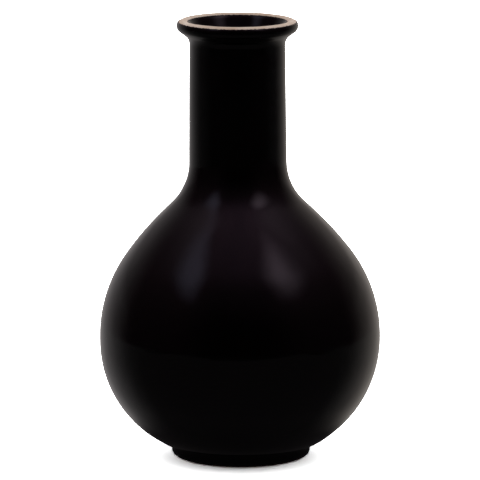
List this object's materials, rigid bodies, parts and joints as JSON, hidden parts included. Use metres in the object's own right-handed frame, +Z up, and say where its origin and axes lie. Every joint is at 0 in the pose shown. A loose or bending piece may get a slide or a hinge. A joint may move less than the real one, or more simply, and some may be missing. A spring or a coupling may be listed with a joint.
{
  "type": "bottle vase",
  "caption": "Bottle vase in glossy black-glazed clay: round belly, tall narrow neck, rolled lip with bare clay on its crown, low foot ring.",
  "frame": {"origin": "centre of the foot ring's standing face, on the surface that the vase stands on", "axes": "+Z up along the axis of the belly and the neck; the vase is round, so +X and +Y may point anywhere across it"},
  "size_m": [0.166, 0.166, 0.26],
  "materials": {
    "clay": "unglazed fired clay, matt tan",
    "slip": "fired luting slip, matt, slightly darker than the clay",
    "glaze": "smooth black gloss glaze"
  },
  "bodies": {
    "root": {"foot_ring": "clay", "lower_bowl": "clay", "upper_bowl": "clay", "neck": "clay", "lip_roll": "clay", "foot_slip": "slip", "belly_slip": "slip", "neck_slip": "slip", "lip_slip": "slip", "outer_glaze": "glaze", "inner_glaze": "glaze"}
  },
  "joints": []
}
